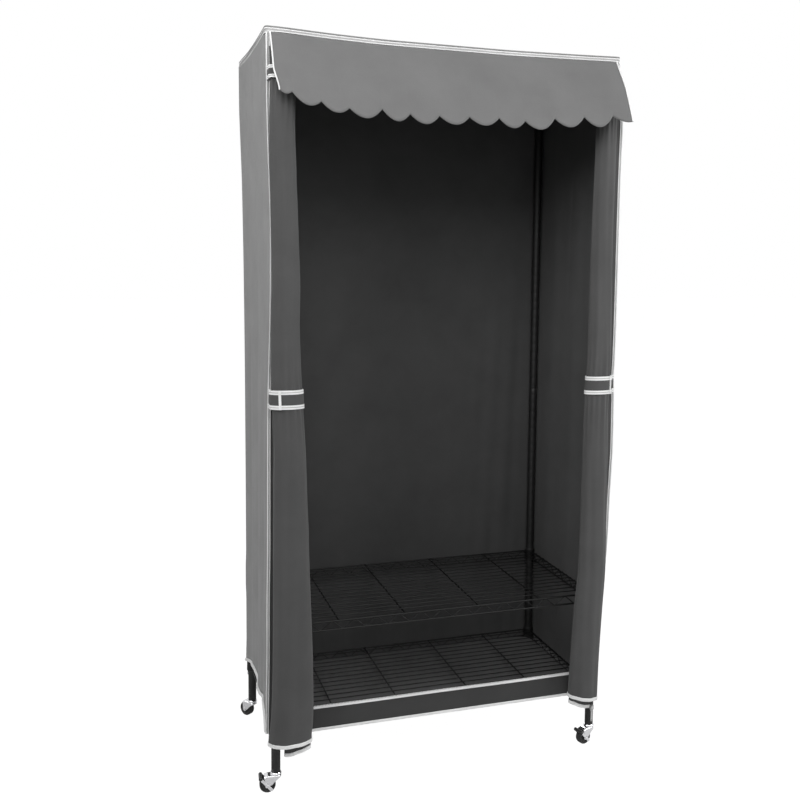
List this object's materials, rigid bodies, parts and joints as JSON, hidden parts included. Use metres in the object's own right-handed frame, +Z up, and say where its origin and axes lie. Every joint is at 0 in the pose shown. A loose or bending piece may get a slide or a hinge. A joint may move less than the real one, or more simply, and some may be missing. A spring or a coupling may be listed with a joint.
{
  "type": "covered wardrobe",
  "caption": "Wheeled wire-shelf garment rack under a fabric cover, with side-rolled front flaps, straps and a scalloped valance.",
  "frame": {"origin": "on the floor under the middle of the whole part's bounding box", "axes": "+X to the right, seen from the open front, +Y to the back, +Z up"},
  "size_m": [0.9106, 0.5506, 1.8],
  "materials": {
    "post_enamel": "gloss",
    "shelf_enamel": "satin",
    "black_plastic": "matte",
    "chrome": "polished",
    "wheel_rubber": "matte",
    "grey_cloth": "woven",
    "dark_cloth": "woven",
    "binding": "woven tape",
    "zip_metal": "satin"
  },
  "bodies": {
    "rack": {"bottom_shelf": "shelf_enamel", "middle_shelf": "shelf_enamel", "top_shelf": "shelf_enamel", "hanging_rod": "post_enamel", "front_left_lower_post": "post_enamel", "front_left_upper_post": "post_enamel", "front_left_post_cap": "black_plastic", "front_left_bottom_sleeve": "black_plastic", "front_left_middle_sleeve": "black_plastic", "front_left_top_sleeve": "black_plastic", "front_left_caster_stem": "chrome", "front_right_lower_post": "post_enamel", "front_right_upper_post": "post_enamel", "front_right_post_cap": "black_plastic", "front_right_bottom_sleeve": "black_plastic", "front_right_middle_sleeve": "black_plastic", "front_right_top_sleeve": "black_plastic", "front_right_caster_stem": "chrome", "rear_left_lower_post": "post_enamel", "rear_left_upper_post": "post_enamel", "rear_left_post_cap": "black_plastic", "rear_left_bottom_sleeve": "black_plastic", "rear_left_middle_sleeve": "black_plastic", "rear_left_top_sleeve": "black_plastic", "rear_left_caster_stem": "chrome", "rear_right_lower_post": "post_enamel", "rear_right_upper_post": "post_enamel", "rear_right_post_cap": "black_plastic", "rear_right_bottom_sleeve": "black_plastic", "rear_right_middle_sleeve": "black_plastic", "rear_right_top_sleeve": "black_plastic", "rear_right_caster_stem": "chrome", "cover_roof": "grey_cloth", "cover_left_side": "grey_cloth", "cover_right_side": "grey_cloth", "valance": "grey_cloth", "left_middle_strap": "grey_cloth", "right_middle_strap": "grey_cloth", "left_upper_strap": "grey_cloth", "right_upper_strap": "grey_cloth", "cover_back": "dark_cloth", "front_skirt": "dark_cloth", "left_flap": "dark_cloth", "right_flap": "dark_cloth", "zip_slider": "zip_metal"},
    "front_left_caster": {"front_left_caster_fork": "chrome", "front_left_axle": "chrome"},
    "front_left_wheel_body": {"front_left_wheel": "wheel_rubber"},
    "front_left_brake": {"front_left_brake_lever": "chrome"},
    "front_right_caster": {"front_right_caster_fork": "chrome", "front_right_axle": "chrome"},
    "front_right_wheel_body": {"front_right_wheel": "wheel_rubber"},
    "front_right_brake": {"front_right_brake_lever": "chrome"},
    "rear_left_caster": {"rear_left_caster_fork": "chrome", "rear_left_axle": "chrome"},
    "rear_left_wheel_body": {"rear_left_wheel": "wheel_rubber"},
    "rear_right_caster": {"rear_right_caster_fork": "chrome", "rear_right_axle": "chrome"},
    "rear_right_wheel_body": {"rear_right_wheel": "wheel_rubber"},
    "zip_pull_body": {"zip_pull": "zip_metal"}
  },
  "joints": [
    {"name": "front_left_swivel", "type": "hinge", "parent": "rack", "child": "front_left_caster", "pos_m": [-0.41268, -0.15712, 0.042], "axis": [0, 0, 1], "continuous": true},
    {"name": "front_left_wheel_spin", "type": "hinge", "parent": "front_left_caster", "child": "front_left_wheel_body", "pos_m": [-0.43254, -0.15473, 0.01962], "axis": [-0.1191, -0.9929, 0], "continuous": true},
    {"name": "front_left_brake_press", "type": "hinge", "parent": "front_left_caster", "child": "front_left_brake", "pos_m": [-0.43254, -0.15473, 0.01962], "axis": [-0.1191, -0.9929, 0], "range_deg": [0, 19]},
    {"name": "front_right_swivel", "type": "hinge", "parent": "rack", "child": "front_right_caster", "pos_m": [0.43332, -0.15712, 0.042], "axis": [0, 0, 1], "continuous": true},
    {"name": "front_right_wheel_spin", "type": "hinge", "parent": "front_right_caster", "child": "front_right_wheel_body", "pos_m": [0.41423, -0.16306, 0.01962], "axis": [0.297, -0.9549, 0], "continuous": true},
    {"name": "front_right_brake_press", "type": "hinge", "parent": "front_right_caster", "child": "front_right_brake", "pos_m": [0.41423, -0.16306, 0.01962], "axis": [0.297, -0.9549, 0], "range_deg": [0, 19]},
    {"name": "rear_left_swivel", "type": "hinge", "parent": "rack", "child": "rear_left_caster", "pos_m": [-0.41268, 0.23888, 0.042], "axis": [0, 0, 1], "continuous": true},
    {"name": "rear_left_wheel_spin", "type": "hinge", "parent": "rear_left_caster", "child": "rear_left_wheel_body", "pos_m": [-0.42474, 0.25484, 0.01962], "axis": [-0.7978, -0.6029, 0], "continuous": true},
    {"name": "rear_right_swivel", "type": "hinge", "parent": "rack", "child": "rear_right_caster", "pos_m": [0.43332, 0.23888, 0.042], "axis": [0, 0, 1], "continuous": true},
    {"name": "rear_right_wheel_spin", "type": "hinge", "parent": "rear_right_caster", "child": "rear_right_wheel_body", "pos_m": [0.41598, 0.24885, 0.01962], "axis": [-0.4982, -0.8671, 0], "continuous": true},
    {"name": "zip_pull_swing", "type": "hinge", "parent": "rack", "child": "zip_pull_body", "pos_m": [0.40229, -0.22808, 0.1216], "axis": [0.9436, 0.331, 0], "range_deg": [-75, 75]}
  ]
}
